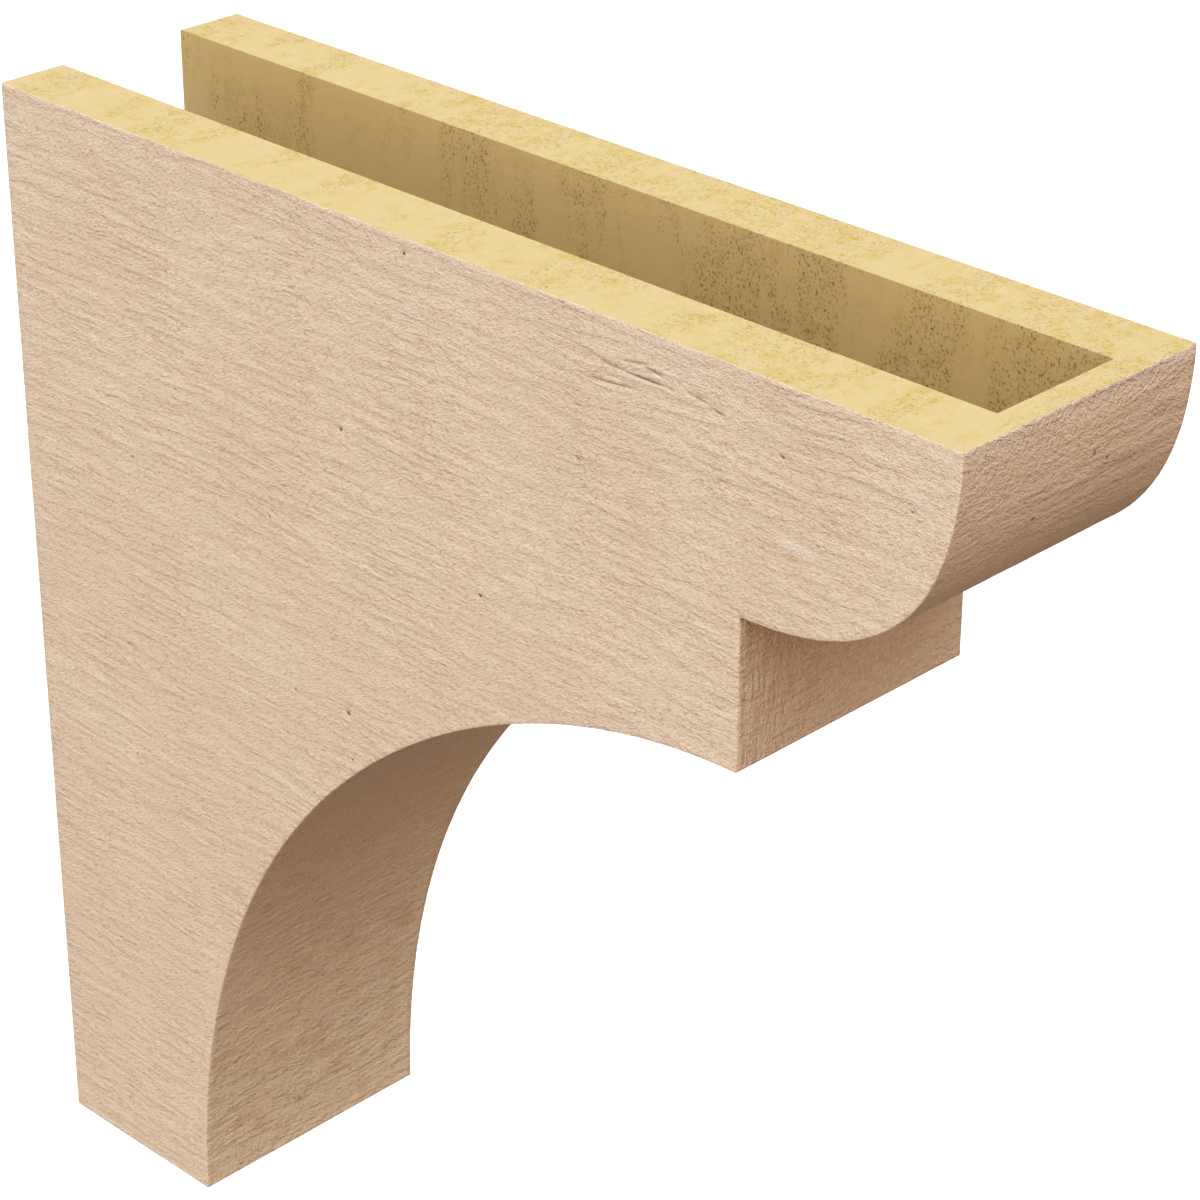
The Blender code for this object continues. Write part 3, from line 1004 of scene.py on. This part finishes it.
modifier = corbel_body.modifiers.new("sawn relief", "NODES")
modifier.node_group = relief
for name, value in {**sizes, **materials}.items():
    modifier[inputs[name]] = value
graph = bpy.context.evaluated_depsgraph_get()
shaped = bpy.data.meshes.new_from_object(
    corbel_body.evaluated_get(graph), preserve_all_data_layers=True, depsgraph=graph
)
corbel_body.modifiers.remove(modifier)
corbel_body.data = shaped

# Edges sharper than this stay sharp. Foam stays flat up to its rounded edges, so its shading doesn't fade
# across them.
SMOOTH_ANGLE = math.radians(55)
FLAT_ANGLE = math.radians(12)
shaped.shade_smooth()
shaped.set_sharp_from_angle(angle=SMOOTH_ANGLE)
finish_of = np.zeros(len(shaped.polygons), int)
shaped.attributes["finish"].data.foreach_get("value", finish_of)
facing = np.zeros(len(shaped.polygons) * 3)
shaped.polygons.foreach_get("normal", facing)
facing = facing.reshape(-1, 3)
edge_of = np.zeros(len(shaped.loops), int)
shaped.loops.foreach_get("edge_index", edge_of)
counts = np.zeros(len(shaped.polygons), int)
shaped.polygons.foreach_get("loop_total", counts)
face_of = np.repeat(np.arange(len(counts)), counts)
order = np.argsort(edge_of, kind="stable")
pairs = face_of[order].reshape(-1, 2)
bare = (finish_of[pairs] >= RIM).all(1)
bent_edge = (facing[pairs[:, 0]] * facing[pairs[:, 1]]).sum(1) < math.cos(FLAT_ANGLE)
sharp = np.zeros(len(shaped.edges), bool)
shaped.attributes["sharp_edge"].data.foreach_get("value", sharp)
sharp |= bare & bent_edge
shaped.attributes["sharp_edge"].data.foreach_set("value", sharp)
for name in ("sink", "crosswise"):
    shaped.attributes.remove(shaped.attributes[name])

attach(corbel_body, "root")
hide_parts("corbel")

# The studio: a plain white floor well below the corbel and a white room, which only the camera sees as
# white, with large soft lamps all round it
FLOOR_DROP = 2.0
FLOOR_HALF = 60.0
FLOOR_WHITE = linear("FFFFFF")

# Each soft lamp's azimuth from +X and elevation in degrees, and its strength in red, green and blue;
# a larger LAMP_EDGE makes them all smaller
LAMP_EDGE = 8
SOFT_LAMPS = (
    (270, 60, (1.26, 1.37, 1.47)),
    (215, 60, (0.87, 0.95, 1.02)),
    (270, -5, (2.03, 1.93, 1.89)),
    (215, -5, (0.37, 0.36, 0.35)),
    (315, -5, (0.6, 0.45, 0.37)),
    (315, 30, (0.89, 0.77, 0.65)),
    (315, 60, (1.64, 1.83, 1.96)),
    (0, -5, (0.46, 0.18, 0.0)),
    (0, 30, (0.32, 0.15, 0.0)),
    (0, 60, (1.27, 1.43, 1.52)),
    (45, 60, (1.29, 1.48, 1.65)),
    (135, -12, (3.4, 3.05, 2.75)),
    (135, 30, (1.05, 1.05, 1.05)),
)

floor_mesh = bpy.data.meshes.new("studio_floor")
floor_mesh.from_pydata(
    [(x * FLOOR_HALF, y * FLOOR_HALF, -FLOOR_DROP) for x, y in ((-1, -1), (1, -1), (1, 1), (-1, 1))],
    [],
    [(0, 1, 2, 3)],
)
floor = bpy.data.objects.new("studio_floor", floor_mesh)
bpy.context.scene.collection.objects.link(floor)
paint = bpy.data.materials.new("white_studio_paint")
paint.use_nodes = True
paint.node_tree.nodes.clear()
surface = add_node(
    paint.node_tree, "ShaderNodeBsdfPrincipled", {"Base Color": FLOOR_WHITE, "Roughness": 0.9}
)
add_node(paint.node_tree, "ShaderNodeOutputMaterial", {"Surface": surface})
floor_mesh.materials.append(paint)

# The lamps from below already give what the floor would throw back
floor.visible_diffuse = False

world = bpy.data.worlds.new("studio_room")
bpy.context.scene.world = world
world.use_nodes = True
room = world.node_tree
room.nodes.clear()
direction = add_node(room, "ShaderNodeTexCoord", output="Generated")
direction = add_node(room, "ShaderNodeVectorMath", {0: direction}, operation="NORMALIZE")
glow = None
for azimuth, elevation, colour in SOFT_LAMPS:
    turned, raised = math.radians(azimuth), math.radians(elevation)
    aim = (math.cos(raised) * math.cos(turned), math.cos(raised) * math.sin(turned), math.sin(raised))
    facing = add_node(room, "ShaderNodeVectorMath", {0: direction, 1: aim}, "Value", operation="DOT_PRODUCT")
    facing = add_node(room, "ShaderNodeMath", {0: facing, 1: 0.0}, operation="MAXIMUM")
    soft = add_node(room, "ShaderNodeMath", {0: facing, 1: LAMP_EDGE}, operation="POWER")
    lamp = add_node(room, "ShaderNodeVectorMath", {0: colour, "Scale": soft}, operation="SCALE")
    glow = add_node(room, "ShaderNodeVectorMath", {0: lamp, 1: glow}, operation="ADD") if glow else lamp
lit = add_node(room, "ShaderNodeBackground", {"Color": glow, "Strength": 1.0})
white = add_node(room, "ShaderNodeBackground", {"Color": FLOOR_WHITE, "Strength": 1.0})
seen = add_node(room, "ShaderNodeLightPath", output="Is Camera Ray")
backdrop = add_node(room, "ShaderNodeMixShader", {0: seen, 1: lit, 2: white})
add_node(room, "ShaderNodeOutputWorld", {"Surface": backdrop})
bpy.context.scene.view_settings.view_transform = "Standard"

# The camera stands where the photograph was taken from, solved from the corbel's straight edges
camera = bpy.data.objects.new("camera", bpy.data.cameras.new("camera"))
bpy.context.scene.collection.objects.link(camera)
camera.data.sensor_width = 36.0
camera.data.lens = 108.313
camera.location = (0.92869, -0.72130, 0.79658)
camera.rotation_euler = [math.radians(turn) for turn in (62.58726, -0.22245, 44.36982)]
bpy.context.scene.camera = camera
